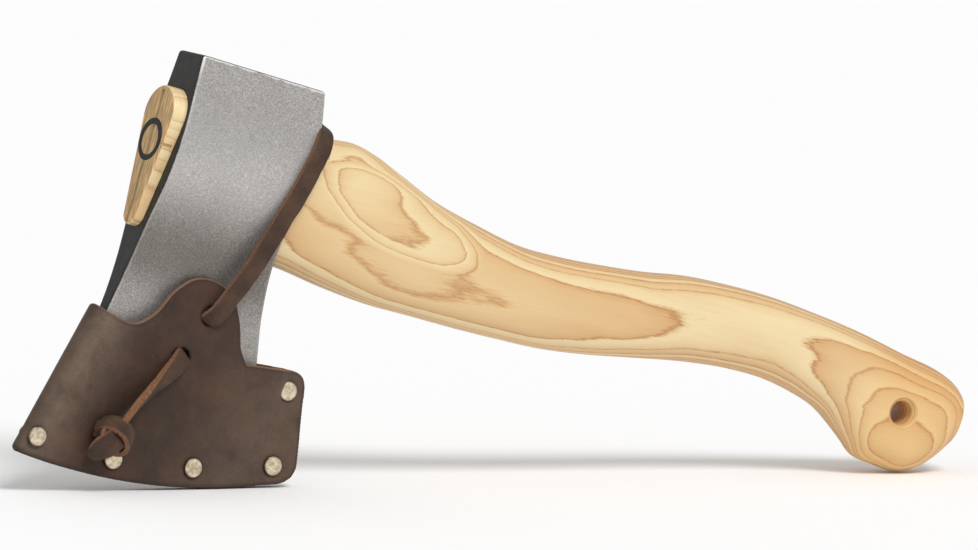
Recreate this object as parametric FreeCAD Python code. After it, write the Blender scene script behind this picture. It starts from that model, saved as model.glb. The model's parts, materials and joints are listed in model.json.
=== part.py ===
import FreeCAD, Part
import math
import os

from FreeCAD import Matrix, Vector

# A hatchet in its laced leather sheath, in mm. Every piece is modelled along the head's own
# directions: X runs through the eye towards the knob, Z from the cutting edge to the poll, and
# the front cheek faces -Y. X = 0 is the end of the tongue and Z = 0 the middle of the ring wedge.
# At the end everything is tilted so that the sheath and the knob stand on one level floor.

# The head.
# (X, Z) of its toe side and its heel side, from the poll down towards the cutting edge
toe_side = [(7.0, 35.5), (4.9, 8.0), (0.8, -32.0), (-2.6, -67.0)]
heel_side = [(64.5, 33.9), (66.2, 8.0), (62.0, -32.0), (69.0, -75.0)]
eye_thickness = 28.6
poll_chamfer = 1.2
edge_centre = Vector(5.1, 0, 117.8)
edge_radius = 237.5
toe_x = -9.8
heel_x = 73.5
# (Z, full thickness) of the cheeks, from the poll down to the bevel of the bit
cheek_stations = [(36.0, 21.0), (22.0, 24.0), (8.0, 28.2), (-4.0, 28.6), (-15.0, 26.2), (-29.0, 19.0),
                  (-44.0, 13.4), (-60.0, 9.0), (-80.0, 6.0), (-122.0, 2.2)]
bevel_width = 22.0
bevel_thickness = 4.6
edge_thickness = 0.5

# The eye is a teardrop: a large round towards the poll, a small one towards the bit.
eye_round_z = 10.0
eye_round_radius = 11.4
eye_tip_z = -30.6
eye_tip_radius = 4.0

# The handle: (X, middle Z, height, thickness) of its oval sections, from the head to the knob
knob_thickness = 27.0
handle_stations = [
    (61.0, -8.6, 54.0, 24.0), (76.0, -9.2, 55.4, 25.4), (95.0, -11.0, 56.0, 26.0), (112.0, -14.7, 51.6, 25.6),
    (130.0, -17.8, 45.4, 24.8), (150.0, -20.0, 41.4, 24.0), (171.0, -21.7, 37.6, 23.4),
    (192.0, -21.3, 36.8, 23.0), (215.0, -18.9, 35.6, 22.6), (238.0, -16.1, 34.6, 22.2),
    (262.0, -12.6, 32.8, 21.8), (286.0, -12.3, 32.0, 22.0), (307.0, -14.3, 32.6, 23.2),
    (322.0, -17.6, 35.6, 24.8), (336.0, -23.1, 43.4, 26.4), (350.0, -27.0, 45.8, knob_thickness),
    (363.0, -28.2, 44.0, 26.0), (373.0, -26.4, 34.4, 22.6), (379.5, -24.0, 22.6, 16.6),
    (383.0, -22.8, 10.0, 8.0)]
oval_power = 2.35
oval_points = 24
hang_hole_x = 351.6
hang_hole_z = -27.5
hang_hole_radius = 4.75
hang_hole_chamfer = 1.5

# The wedges.
kerf_width = 2.0
kerf_root_width = 0.4
kerf_depth = 38.0
kerf_top_z = 20.0
kerf_bottom_z = -33.0
ring_radius = 8.5
ring_wall = 2.3
ring_depth = 12.0
ring_taper = 0.4

# The sheath.
leather = 2.7
rim_radius = 250.0
rim_gap = 3.0
welt_clearance = 0.3
# (Z, half gap) inside the raised pocket that the bit and the lace's inner runs fill
pocket_stations = [(-140.0, 1.5), (-118.0, 1.5), (-85.0, 5.6), (-60.0, 7.3), (-40.0, 7.3)]
fold_low = Vector(-25.3, 0, -128.4)
fold_bend = Vector(-21.1, 0, -113.0)
fold_high = Vector(-8.1, 0, -68.0)
mouth_points = [(-8.1, -68.0), (0.0, -70.4), (8.7, -70.6), (15.3, -65.4), (21.6, -54.6), (30.0, -47.6),
                (40.7, -47.5), (49.4, -53.4), (53.6, -60.5), (57.6, -70.6), (61.4, -75.2)]
shoulder_low = Vector(61.4, 0, -75.2)
shoulder_high = Vector(86.0, 0, -73.0)
heel_high = Vector(91.4, 0, -80.0)
heel_low = Vector(95.4, 0, -108.0)
heel_corner_x = 91.5
toe_corner_run = 2.6
toe_corner_bulge = Vector(-0.5, 0, -0.4)
low_corner_bulge = Vector(1.3, 0, -1.0)
high_corner_bulge = Vector(1.2, 0, 1.4)
# X of the raised pocket's heel side, at the shoulder and at the rim. The bit passes it when it is drawn.
pocket_heel_x = (80.1, 77.7)
draw_lean = 0.1
ear_hole = Vector(39.9, 0, -60.7)
lower_hole = Vector(32.3, 0, -79.1)
lace_hole_radius = 4.0

# The rivets.
rivet_places = [(-18.0, -123.2), (16.9, -124.4), (52.1, -119.8), (86.2, -111.2), (84.2, -81.4)]
cap_radius = 3.8
cap_rise = 1.3
post_radius = 1.5

# The lace.
strap_width = 8.0
strap = 3.0
inner_width = 6.0
inner_strap = 1.8
clearance = 0.3
loop_top = Vector(70.9, 0, 21.7)
loop_half_width = 16.2
loop_corner = 7.0
loop_foot_y = 12.2
loop_full_width_at = 50.0
knot_centre = Vector(11.9, -10.1, -117.0)
knot_radii = (9.2, 5.4, 9.2)
tail_foot_y = 8.9
# the share of the knot's radius at which the tail enters it
knot_entry = 0.8

floor_tolerance = 0.002
mesh_tolerance = 0.02
knob_reach = 400.0
steepest_tilt = 45.0
# further out than any surface of the sheath
outer_reach = 20.0


def polygon(points):
    """A closed wire through points."""
    return Part.makePolygon(list(points) + [points[0]])


def prism_y(wire, half_width):
    """A solid from a wire in the XZ plane, that reaches half_width to each side."""
    face = Part.Face(wire)
    face.translate(Vector(0, -half_width, 0))
    return face.extrude(Vector(0, 2 * half_width, 0))


def prism_x(points, low, high):
    """A solid from a polygon of (Y, Z) points, that runs along X from low to high."""
    wire = polygon([Vector(low, y, z) for y, z in points])
    return Part.Face(wire).extrude(Vector(high - low, 0, 0))


def rod_y(centre, radius, low, high):
    """A round rod along Y from low to high."""
    return Part.makeCylinder(radius, high - low, Vector(centre.x, low, centre.z), Vector(0, 1, 0))


def both_sides(stations):
    """A (Y, Z) polygon that is symmetrical about Y = 0, from (Z, half thickness) stations."""
    return [(-half, z) for z, half in stations] + [(half, z) for z, half in reversed(stations)]


def spline(points):
    """An edge that runs smoothly through points."""
    curve = Part.BSplineCurve()
    curve.interpolate(points)
    return curve.toShape()


def line(start, end):
    """A straight edge."""
    return Part.LineSegment(start, end).toShape()


def chain(points):
    """Straight edges from each point to the next."""
    return [line(start, end) for start, end in zip(points, points[1:])]


def arc_point(x, radius):
    """The point at x on the lower side of a circle about the centre of the cutting edge."""
    return Vector(x, 0, edge_centre.z - math.sqrt(radius ** 2 - (x - edge_centre.x) ** 2))


def arc(start_x, end_x, radius):
    """A circular edge concentric with the cutting edge."""
    middle = arc_point((start_x + end_x) / 2, radius)
    return Part.Arc(arc_point(start_x, radius), middle, arc_point(end_x, radius)).toShape()


def eye_wire(x):
    """The teardrop outline of the eye in the plane at x."""
    big = eye_round_radius
    small = eye_tip_radius
    lean = math.asin((big - small) / (eye_round_z - eye_tip_z))
    side_y = math.cos(lean)
    side_z = math.sin(lean)
    top_right = Vector(x, big * side_y, eye_round_z - big * side_z)
    top_left = Vector(x, -big * side_y, eye_round_z - big * side_z)
    low_right = Vector(x, small * side_y, eye_tip_z - small * side_z)
    low_left = Vector(x, -small * side_y, eye_tip_z - small * side_z)
    crown = Part.Arc(top_right, Vector(x, 0, eye_round_z + big), top_left).toShape()
    tip = Part.Arc(low_left, Vector(x, 0, eye_tip_z - small), low_right).toShape()
    return Part.Wire([crown, line(top_left, low_left), tip, line(low_right, top_right)])


def head_outline():
    """The head seen from its front cheek."""
    toe = [Vector(x, 0, z) for x, z in toe_side]
    heel = [Vector(x, 0, z) for x, z in heel_side]
    down = spline(toe + [arc_point(toe_x, edge_radius)])
    up = spline([arc_point(heel_x, edge_radius)] + heel[::-1])
    return Part.Wire([down, arc(toe_x, heel_x, edge_radius), up, line(heel[0], toe[0])])


def axe_head():
    """The forging: its outline, its hollow cheeks, the bevel of the bit, the poll's chamfer and the eye."""
    front = [Vector(toe_x - leather, -thickness / 2, z) for z, thickness in cheek_stations]
    back = [Vector(toe_x - leather, thickness / 2, z) for z, thickness in reversed(cheek_stations)]
    section = Part.Wire([spline(front), line(front[-1], back[0]), spline(back), line(back[-1], front[0])])
    body = Part.Face(section).extrude(Vector(heel_x - toe_x + 2 * leather, 0, 0))
    head = prism_y(head_outline(), eye_thickness).common(body).common(bevel_lens())
    poll_edges = [edge for edge in head.Edges if edge.BoundBox.ZMin > heel_side[0][1] - poll_chamfer]
    head = head.Solids[0].makeChamfer(poll_chamfer, poll_edges)
    return head.cut(eye_prism(-leather, heel_x))


def bevel_lens():
    """A disc about the centre of the cutting edge whose rim thins to that edge."""
    far = edge_radius - bevel_width
    rim = edge_radius + edge_thickness
    half = [(0, eye_thickness), (far - bevel_width, eye_thickness), (far, bevel_thickness / 2),
            (rim, edge_thickness / 2)]
    profile = half + [(radius, -y) for radius, y in reversed(half)]
    wire = polygon([edge_centre + Vector(0, y, -radius) for radius, y in profile])
    return Part.Face(wire).revolve(edge_centre, Vector(0, 1, 0), 360)


def eye_prism(low, high):
    """A straight bar of the eye's section from low to high."""
    return Part.Face(eye_wire(low)).extrude(Vector(high - low, 0, 0))


def oval(x, middle, height, thickness):
    """A rounded section of the handle, a little fuller than an ellipse."""
    points = []
    for step in range(oval_points):
        turn = 2 * math.pi * step / oval_points
        across = math.copysign(abs(math.cos(turn)) ** (2 / oval_power), math.cos(turn))
        up = math.copysign(abs(math.sin(turn)) ** (2 / oval_power), math.sin(turn))
        points.append(Vector(x, thickness / 2 * across, middle + height / 2 * up))
    curve = Part.BSplineCurve()
    curve.interpolate(points, PeriodicFlag=True)
    return Part.Wire(curve.toShape())


def kerf():
    """The slot along the tongue that the wooden wedge fills. It narrows to nothing at its root."""
    half = kerf_width / 2
    root = kerf_root_width / 2
    plan = [(0, -half), (0, half), (kerf_depth, root), (kerf_depth, -root)]
    face = Part.Face(polygon([Vector(x, y, kerf_bottom_z) for x, y in plan]))
    slot = face.extrude(Vector(0, 0, kerf_top_z - kerf_bottom_z))
    return slot.common(eye_prism(-leather, kerf_depth))


def ring_wedge():
    """The steel ring, sharp at its inner end."""
    depth = Vector(1, 0, 0)
    origin = Vector(0, 0, 0)
    outer_end = ring_radius - ring_wall * ring_taper
    inner_end = ring_radius - ring_wall * (1 - ring_taper)
    outer = Part.makeCone(ring_radius, outer_end, ring_depth, origin, depth)
    inner = Part.makeCone(ring_radius - ring_wall, inner_end, ring_depth, origin, depth)
    return outer.cut(inner)


def handle():
    """The tongue through the eye, the curved grip and the knob with its hanging hole."""
    grip = Part.makeLoft([oval(*station) for station in handle_stations], True, False)
    shoulder = prism_y(head_outline(), eye_thickness)
    proud = eye_prism(0, kerf_depth)
    tongue = eye_prism(0, handle_stations[1][0]).common(shoulder)
    wood = grip.cut(shoulder).fuse([tongue, proud]).removeSplitter()
    wood = wood.cut(rod_y(Vector(hang_hole_x, 0, hang_hole_z), hang_hole_radius, -outer_reach, outer_reach))
    for side in (-1, 1):
        wood = wood.cut(hole_chamfer(side))
    wood = wood.cut(kerf()).cut(ring_wedge())
    return wood


def hole_chamfer(side):
    """The broken edge of the hanging hole on one side."""
    deep = 2 * hang_hole_chamfer
    start = Vector(hang_hole_x, side * (knob_thickness / 2 + hang_hole_chamfer), hang_hole_z)
    return Part.makeCone(hang_hole_radius + deep, hang_hole_radius, deep, start, Vector(0, -side, 0))


def sheath_outline():
    """The sheath seen from the front."""
    mouth = spline([Vector(x, 0, z) for x, z in mouth_points])
    toe_end = arc_point(fold_low.x + toe_corner_run, rim_radius)
    heel_end = arc_point(heel_corner_x, rim_radius)
    toe_corner = Part.Arc(fold_low, (fold_low + toe_end) / 2 + toe_corner_bulge, toe_end).toShape()
    low_corner = Part.Arc(heel_end, (heel_end + heel_low) / 2 + low_corner_bulge, heel_low).toShape()
    high_corner = Part.Arc(heel_high, (heel_high + shoulder_high) / 2 + high_corner_bulge, shoulder_high)
    return Part.Wire([line(fold_high, fold_bend), line(fold_bend, fold_low), toe_corner,
                      arc(toe_end.x, heel_end.x, rim_radius), low_corner, line(heel_low, heel_high),
                      high_corner.toShape(), line(shoulder_high, shoulder_low), mouth])


def inside_fold():
    """The side of the fold where the two panels are apart."""
    move = Vector(leather, 0, 0)
    up = fold_high + (fold_high - fold_bend) + move
    down = fold_low + (fold_low - fold_bend) + move
    far = Vector(2 * heel_x, 0, 0)
    return prism_y(polygon([up, fold_bend + move, down, down + far, up + far]), outer_reach)


def pocket_outline(inset):
    """The part of the sheath that is raised over the bit, made smaller by inset."""
    low = edge_radius - inset
    left = fold_low.x - leather
    right = pocket_heel_x[0] - inset
    heel = arc_point(pocket_heel_x[1] - inset, low)
    sides = chain([heel, Vector(right, 0, shoulder_low.z), Vector(right, 0, 0), Vector(left, 0, 0),
                   arc_point(left, low)])
    return Part.Wire([arc(left, heel.x, low)] + sides)


def pocket_slab(extra):
    """The space between the panels of the raised pocket, thicker by extra on each side."""
    section = both_sides([(z, half + extra) for z, half in pocket_stations if half + extra > 0])
    return prism_x(section, fold_low.x - leather, heel_low.x + leather)


def rim_slab(half):
    """A flat slab over the whole sheath, half thick to each side."""
    low = fold_low.x - outer_reach
    high = heel_low.x + outer_reach
    bottom = edge_centre.z - rim_radius - outer_reach
    return Part.makeBox(high - low, 2 * half, -bottom, Vector(low, -half, bottom))


def sheath_leather():
    """One piece of leather: two panels that a fold joins along the toe side, open at the mouth."""
    outline = prism_y(sheath_outline(), outer_reach)
    raised = pocket_slab(leather).common(prism_y(pocket_outline(0), outer_reach))
    hollow = pocket_slab(0).common(prism_y(pocket_outline(leather), outer_reach))
    body = rim_slab(rim_gap / 2 + leather).fuse(raised).common(outline)
    body = body.cut(rim_slab(rim_gap / 2).fuse(hollow).common(inside_fold()))
    for hole in (ear_hole, lower_hole):
        body = body.cut(rod_y(hole, lace_hole_radius, -outer_reach, outer_reach))
    for x, z in rivet_places:
        body = body.cut(rod_y(Vector(x, 0, z), post_radius, -outer_reach, outer_reach))
    return body


def sheath_welt():
    """The spacer strip between the panels, along the bottom and up the heel rim."""
    inner_radius = edge_radius + welt_clearance
    heel = arc_point(pocket_heel_x[1] - leather, inner_radius)
    left = fold_low.x - leather
    right = pocket_heel_x[0] - leather
    sides = chain([heel, Vector(right, 0, shoulder_low.z), Vector(right, 0, 0), Vector(left, 0, 0),
                   arc_point(left, inner_radius)])
    bit_side = Part.Wire([arc(left, heel.x, inner_radius)] + sides)
    strip = prism_y(sheath_outline(), rim_gap / 2).common(inside_fold())
    strip = strip.cut(prism_y(bit_side, outer_reach))
    for x, z in rivet_places:
        strip = strip.cut(rod_y(Vector(x, 0, z), post_radius, -outer_reach, outer_reach))
    return strip


def dome(place, side):
    """A rivet's domed cap on one side of the rim."""
    ball = (cap_radius ** 2 + cap_rise ** 2) / (2 * cap_rise)
    seat = rim_gap / 2 + leather
    top = seat + cap_rise
    sphere = Part.makeSphere(ball, Vector(place.x, side * (top - ball), place.z))
    low, high = sorted((side * seat, side * (top + cap_rise)))
    return sphere.common(rod_y(place, cap_radius, low, high))


def rivet_post(place):
    """A rivet's post through the panels and the welt, with its back cap."""
    seat = rim_gap / 2 + leather
    return rod_y(place, post_radius, -seat, seat).fuse(dome(place, 1))


def strip_outline(start, end, width):
    """A rectangle about the line from start to end."""
    along = (end - start).normalize()
    side = along.cross(Vector(0, 1, 0)) * (width / 2)
    return polygon([start + side, end + side, end - side, start - side])


def front_half():
    """Everything in front of the middle plane."""
    return rim_slab(outer_reach / 2).translated(Vector(0, -outer_reach / 2, 0))


def lace_run():
    """The lace between the front panel and the cheek, turned out through both of its holes."""
    along = (ear_hole - lower_hole).normalize() * (inner_width / 2)
    strip = prism_y(strip_outline(lower_hole - along, ear_hole + along, inner_width), outer_reach)
    layer = pocket_slab(-clearance).cut(pocket_slab(-clearance - inner_strap)).common(front_half())
    run = strip.common(layer)
    ends = ((ear_hole, loop_foot_y - strap / 2 - clearance, pocket_stations[3][1]),
            (lower_hole, tail_foot_y, pocket_stations[2][1]))
    for hole, foot, panel in ends:
        run = run.fuse(rod_y(hole, inner_width / 2, -foot, clearance + inner_strap / 2 - panel))
    return run


def lump(extra):
    """The overhand knot, as one rounded lump over the front panel, larger by extra all round."""
    knot = Part.makeSphere(1.0)
    scale = Matrix()
    scale.scale(*[radius + extra for radius in knot_radii])
    knot = knot.transformGeometry(scale)
    knot.translate(knot_centre)
    return knot


def lace_tail():
    """The strap from the lower hole to the knot, flat on the front panel."""
    layer = pocket_slab(leather + clearance + strap).cut(pocket_slab(leather + clearance)).common(front_half())
    knot = Vector(knot_centre.x, 0, knot_centre.z)
    foot = knot + (lower_hole - knot).normalize() * knot_radii[0] * knot_entry
    strip = prism_y(strip_outline(foot, lower_hole, strap_width), outer_reach)
    return strip.common(layer).cut(lump(clearance))


def lace_loop():
    """The strap that leaves the ear holes and passes round the poll side of the handle."""
    along = (loop_top - ear_hole).normalize()
    reach = (loop_top - ear_hole).Length
    side = along.cross(Vector(0, 1, 0))

    def at(distance, y):
        return ear_hole + along * distance + Vector(0, y, 0)

    shoulder = reach - loop_corner
    flat = loop_half_width - loop_corner

    def skin(out):
        """The outline of the loop's middle line moved out by half the strap's thickness."""
        wide = loop_half_width + out
        high = reach + out
        corner = loop_corner + out
        bevel = corner * (1 - math.sqrt(0.5))
        return [line(at(0, -loop_foot_y - out), at(loop_full_width_at, -wide)),
                line(at(loop_full_width_at, -wide), at(shoulder, -wide)),
                Part.Arc(at(shoulder, -wide), at(high - bevel, -wide + bevel), at(high, -flat)).toShape(),
                line(at(high, -flat), at(high, flat)),
                Part.Arc(at(high, flat), at(high - bevel, wide - bevel), at(shoulder, wide)).toShape(),
                line(at(shoulder, wide), at(loop_full_width_at, wide)),
                line(at(loop_full_width_at, wide), at(0, loop_foot_y + out))]

    outer = skin(strap / 2)
    inner = skin(-strap / 2)
    ends = [line(at(0, foot - strap / 2), at(0, foot + strap / 2)) for foot in (-loop_foot_y, loop_foot_y)]
    face = Part.Face(Part.Wire(Part.__sortEdges__(outer + inner + ends)))
    face.translate(side * (-strap_width / 2))
    return face.extrude(side * strap_width)


def mirrored(shape):
    """The same piece on the back of the hatchet."""
    return shape.mirror(Vector(0, 0, 0), Vector(0, 1, 0))


def lowest(points, tilt):
    """The lowest height of points once the head's directions are tilted."""
    return min(point.z * math.cos(tilt) - point.x * math.sin(tilt) for point in points)


def standing_tilt(sheath, knob):
    """The tilt at which the sheath and the knob touch the floor together."""
    low, high = 0.0, math.radians(steepest_tilt)
    while high - low > floor_tolerance / knob_reach:
        tilt = (low + high) / 2
        if lowest(knob, tilt) > lowest(sheath, tilt):
            low = tilt
        else:
            high = tilt
    return (low + high) / 2


def main():
    """Makes every piece, stands the hatchet on the floor and writes one STEP file for each node."""
    ring = ring_wedge()
    wood = handle()
    parts = {
        "axe_head": axe_head(),
        "handle": wood,
        "wooden_wedge": kerf().cut(ring),
        "ring_wedge": ring,
        "sheath_leather": sheath_leather(),
        "sheath_welt": sheath_welt(),
        "lace_loop": lace_loop(),
    }
    for number, (x, z) in enumerate(rivet_places, 1):
        parts[f"rivet_cap_{number}"] = dome(Vector(x, 0, z), -1)
        parts[f"rivet_post_{number}"] = rivet_post(Vector(x, 0, z))
    for name, shape in (("run", lace_run()), ("tail", lace_tail()), ("knot", lump(0))):
        parts[f"lace_{name}_front"] = shape
        parts[f"lace_{name}_back"] = mirrored(shape)

    sheath_mesh = parts["sheath_leather"].tessellate(mesh_tolerance)
    tilt = standing_tilt(sheath_mesh[0], wood.tessellate(mesh_tolerance)[0])
    turn = Matrix()
    turn.rotateY(tilt)
    placed = {name: shape.transformed(turn) for name, shape in parts.items()}
    box = Part.makeCompound(list(placed.values())).optimalBoundingBox(False)
    shift = Vector(-(box.XMin + box.XMax) / 2, 0, -box.ZMin)
    turn.move(shift)

    os.makedirs("parts", exist_ok=True)
    for name, shape in placed.items():
        shape.translate(shift)
        solids = shape.Solids
        print(name, len(solids), shape.isValid(), round(shape.Volume, 1))
        solids[0].exportStep(f"parts/{name}.step")
    print("tilt in degrees", round(math.degrees(tilt), 3))
    hole = Vector(hang_hole_x, 0, hang_hole_z)
    poll = Vector((toe_side[0][0] + heel_side[0][0]) / 2, 0, (toe_side[0][1] + heel_side[0][1]) / 2)
    places = {"ear hole": ear_hole, "lower hole": lower_hole, "hanging hole": hole, "poll": poll}
    for name, place in places.items():
        print(name, turn.multVec(place))
    print("draw axis", turn.submatrix(3).multVec(Vector(draw_lean, 0, 1).normalize()))
    print(f"box {box.XLength:.1f} x {box.YLength:.1f} x {box.ZLength:.1f}")


main()
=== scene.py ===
import functools
import json
import math

import bpy
import numpy as np
from mathutils import Matrix, Vector, noise


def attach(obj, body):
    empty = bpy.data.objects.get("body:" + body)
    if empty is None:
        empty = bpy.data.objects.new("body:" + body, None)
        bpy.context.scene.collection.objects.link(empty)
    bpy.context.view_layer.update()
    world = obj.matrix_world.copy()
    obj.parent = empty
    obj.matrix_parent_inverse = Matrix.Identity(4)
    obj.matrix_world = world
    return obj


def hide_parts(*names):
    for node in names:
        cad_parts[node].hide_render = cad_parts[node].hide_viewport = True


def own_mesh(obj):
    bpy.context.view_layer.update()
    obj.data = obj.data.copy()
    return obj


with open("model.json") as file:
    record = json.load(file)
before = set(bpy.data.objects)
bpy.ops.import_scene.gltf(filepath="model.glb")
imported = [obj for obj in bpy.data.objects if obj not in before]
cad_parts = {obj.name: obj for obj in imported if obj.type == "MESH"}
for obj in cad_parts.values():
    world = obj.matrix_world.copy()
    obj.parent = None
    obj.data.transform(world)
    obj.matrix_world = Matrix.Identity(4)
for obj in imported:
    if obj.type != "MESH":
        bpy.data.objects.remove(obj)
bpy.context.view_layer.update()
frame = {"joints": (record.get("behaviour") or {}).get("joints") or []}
print("frame loaded")

# Every piece is modelled in mm along the hatchet head's own directions: x through the eye towards
# the knob, z from the cutting edge to the poll, the front cheek towards -y. toFrame stands it up.
drawLean = 0.1  # the draw leans this much from z towards x
earHole = (39.9, -60.7)
lowerHole = (32.3, -79.1)
jointNamed = {joint["name"]: joint for joint in frame["joints"]}
drawAxis = jointNamed["axe_draw"]["axis"]
tilt = math.atan2(drawAxis[0], drawAxis[2]) - math.atan(drawLean)
turn = Matrix.Rotation(tilt, 4, "Y")
mm = 0.001
origin = Vector(jointNamed["lace_swing"]["pos_m"]) - turn @ (Vector((earHole[0], 0, earHole[1])) * mm)
toFrame = Matrix.Translation(origin) @ turn @ Matrix.Scale(mm, 4)


def linear(hexColour):
    channels = [int(hexColour[i:i + 2], 16) / 255 for i in (1, 3, 5)]
    return [c / 12.92 if c <= 0.04045 else ((c + 0.055) / 1.055) ** 2.4 for c in channels] + [1.0]


def smoothStep(value):
    value = np.clip(value, 0, 1)
    return value * value * (3 - 2 * value)


def smoothCurve(points, at):
    # a smooth line through (place, value) points, read at every place in at
    places, values = np.array(points, float).T
    slopes = np.gradient(values, places)
    i = np.clip(np.searchsorted(places, at) - 1, 0, len(places) - 2)
    gap = places[i + 1] - places[i]
    t = np.clip((at - places[i]) / gap, 0, 1)
    return (values[i] * (1 + 2 * t) * (1 - t) ** 2 + slopes[i] * gap * t * (1 - t) ** 2
            + values[i + 1] * t * t * (3 - 2 * t) + slopes[i + 1] * gap * t * t * (t - 1))


def smoothPath(points, steps):
    # points evenly spaced along a smooth line through points of any dimension
    points = np.array(points, float)
    length = np.concatenate([[0], np.cumsum(np.linalg.norm(np.diff(points, axis=0), axis=1))])
    fine = np.linspace(0, length[-1], 400)
    line = np.array([smoothCurve(list(zip(length, column)), fine) for column in points.T]).T
    along = np.concatenate([[0], np.cumsum(np.linalg.norm(np.diff(line, axis=0), axis=1))])
    even = np.linspace(0, along[-1], steps)
    return np.array([np.interp(even, along, column) for column in line.T]).T


def corners(mesh):
    flat = np.empty(len(mesh.vertices) * 3)
    mesh.vertices.foreach_get("co", flat)
    return flat.reshape(-1, 3)


def setCorners(mesh, places):
    mesh.vertices.foreach_set("co", np.ascontiguousarray(places, dtype=float).ravel())
    mesh.update()


def unevenness(places, size, seed):
    # soft noise between -1 and 1 whose bumps are about size across
    shift = Vector((seed * 13.7, seed * 5.1, seed * 9.3))
    return np.array([noise.noise(Vector(p) / size + shift) for p in places])


def deselect():
    if bpy.context.object and bpy.context.object.mode == "EDIT":
        bpy.ops.object.mode_set(mode="OBJECT")
    bpy.ops.object.select_all(action="DESELECT")


def started(operator, name, **sizes):
    # a new mesh object, made by one of Blender's own operators
    deselect()
    operator(**sizes)
    obj = bpy.context.object
    obj.name = obj.data.name = name
    return obj


def copied(obj, name):
    twin = obj.copy()
    twin.data = obj.data.copy()
    bpy.context.scene.collection.objects.link(twin)
    twin.name = twin.data.name = name
    return twin


def setMeasure(obj, name, values):
    # one number for each corner of the mesh, which a material reads
    obj.data.attributes.new(name, "FLOAT", "POINT").data.foreach_set("value", values)


def activate(obj):
    deselect()
    obj.select_set(True)
    bpy.context.view_layer.objects.active = obj


def modify(obj, kind, **settings):
    activate(obj)
    modifier = obj.modifiers.new(kind.lower(), kind)
    for name, value in settings.items():
        setattr(modifier, name, value)
    bpy.ops.object.modifier_apply(modifier=modifier.name)


def carve(obj, cutter, operation="DIFFERENCE"):
    modify(obj, "BOOLEAN", object=cutter, operation=operation, solver="EXACT")
    bpy.data.objects.remove(cutter)


def closeMesh(obj):
    # merges doubles, fills what is open and turns the faces outwards
    activate(obj)
    bpy.ops.object.mode_set(mode="EDIT")
    bpy.ops.mesh.select_all(action="SELECT")
    bpy.ops.mesh.remove_doubles(threshold=0.002)
    bpy.ops.mesh.select_all(action="DESELECT")
    bpy.ops.mesh.select_non_manifold(extend=False, use_wire=False, use_multi_face=False,
                                     use_non_contiguous=False, use_verts=False)
    bpy.ops.mesh.fill_holes(sides=0)
    bpy.ops.mesh.select_all(action="SELECT")
    bpy.ops.mesh.normals_make_consistent(inside=False)
    bpy.ops.object.mode_set(mode="OBJECT")


def tube(name, around, along, place):
    # a grid rolled into a closed tube: place turns (round, length) from 0 to 1 into points
    obj = started(bpy.ops.mesh.primitive_grid_add, name, x_subdivisions=around, y_subdivisions=along,
                  size=1)
    flat = corners(obj.data)
    setCorners(obj.data, place(flat[:, 0] + 0.5, flat[:, 1] + 0.5))
    closeMesh(obj)
    return obj


def finish(obj, body, materials, nodes=(), angle=40):
    activate(obj)
    obj.data.transform(obj.matrix_world)
    obj.matrix_world = Matrix.Identity(4)
    obj.data.transform(toFrame)
    obj.data.materials.clear()
    for material in materials:
        obj.data.materials.append(material)
    bpy.ops.object.shade_smooth_by_angle(angle=math.radians(angle))
    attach(obj, body)
    if nodes:
        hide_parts(*nodes)
    return obj


# what most nodes of a kind share
usual = {"MapRange": {"interpolation_type": "SMOOTHSTEP"},
         "TexNoise": {"Scale": 1.0, "Detail": 3.0, "Roughness": 0.6}}


def addNode(tree, kind, *inputs, output=0, stops=(), **named):
    # adds one node: its inputs in order, its settings and other inputs by name, and gives one output
    made = tree.nodes.new("ShaderNode" + kind)
    while len(made.color_ramp.elements if stops else ()) < len(stops):
        made.color_ramp.elements.new(1.0)
    for element, (place, colour) in zip(made.color_ramp.elements if stops else (), stops):
        element.position = place
        element.color = linear(colour) if isinstance(colour, str) else (colour, colour, colour, 1)
    links = list(enumerate(inputs))
    for name, value in {**usual.get(kind, {}), **named}.items():
        if hasattr(made, name):
            setattr(made, name, value)
        else:
            links.append((name.replace("_", " "), value))
    for socket, value in links:
        if isinstance(value, bpy.types.NodeSocket):
            tree.links.new(value, made.inputs[socket])
        elif value is not None:
            made.inputs[socket].default_value = linear(value) if isinstance(value, str) else value
    return made.outputs if output is None else made.outputs[output]


def newMaterial(name):
    # a material, addNode for its own tree, and its coordinates in mm along the head's directions
    material = bpy.data.materials.new(name)
    material.use_nodes = True
    add = functools.partial(addNode, material.node_tree)
    back = turn.inverted() @ origin
    place = add("Mapping", add("TexCoord", output="Object"), Location=[-c / mm for c in back],
                Rotation=(0, -tilt, 0), Scale=(1 / mm,) * 3)
    return material, add, place


def finishMaterial(material, bumps=(), **values):
    # values may be sockets or numbers; bumps are (height socket, distance in mm, strength)
    tree = material.node_tree
    shader = tree.nodes["Principled BSDF"]
    normal = None
    for height, distance, strength in bumps:
        normal = addNode(tree, "Bump", Height=height, Distance=distance * mm, Strength=strength,
                         Normal=normal)
    for name, value in {**values, "Normal": normal}.items():
        socket = shader.inputs[name.replace("_", " ")]
        if isinstance(value, bpy.types.NodeSocket):
            tree.links.new(value, socket)
        elif value is not None:
            socket.default_value = value
    return material


def roughened(add, measure, unrest, amount):
    # moves a measure to and fro with a noise, by up to half of amount
    return add("Math", add("Math", unrest, 0.5, operation="SUBTRACT"), amount, measure,
               operation="MULTIPLY_ADD")


view = {"azimuth": -28.4, "elevation": 7.6, "slopeDifference": -2.726, "distance": 8.0, "fieldWidth": 380.4,
        "right": 131.0, "down": 52.7}


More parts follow.
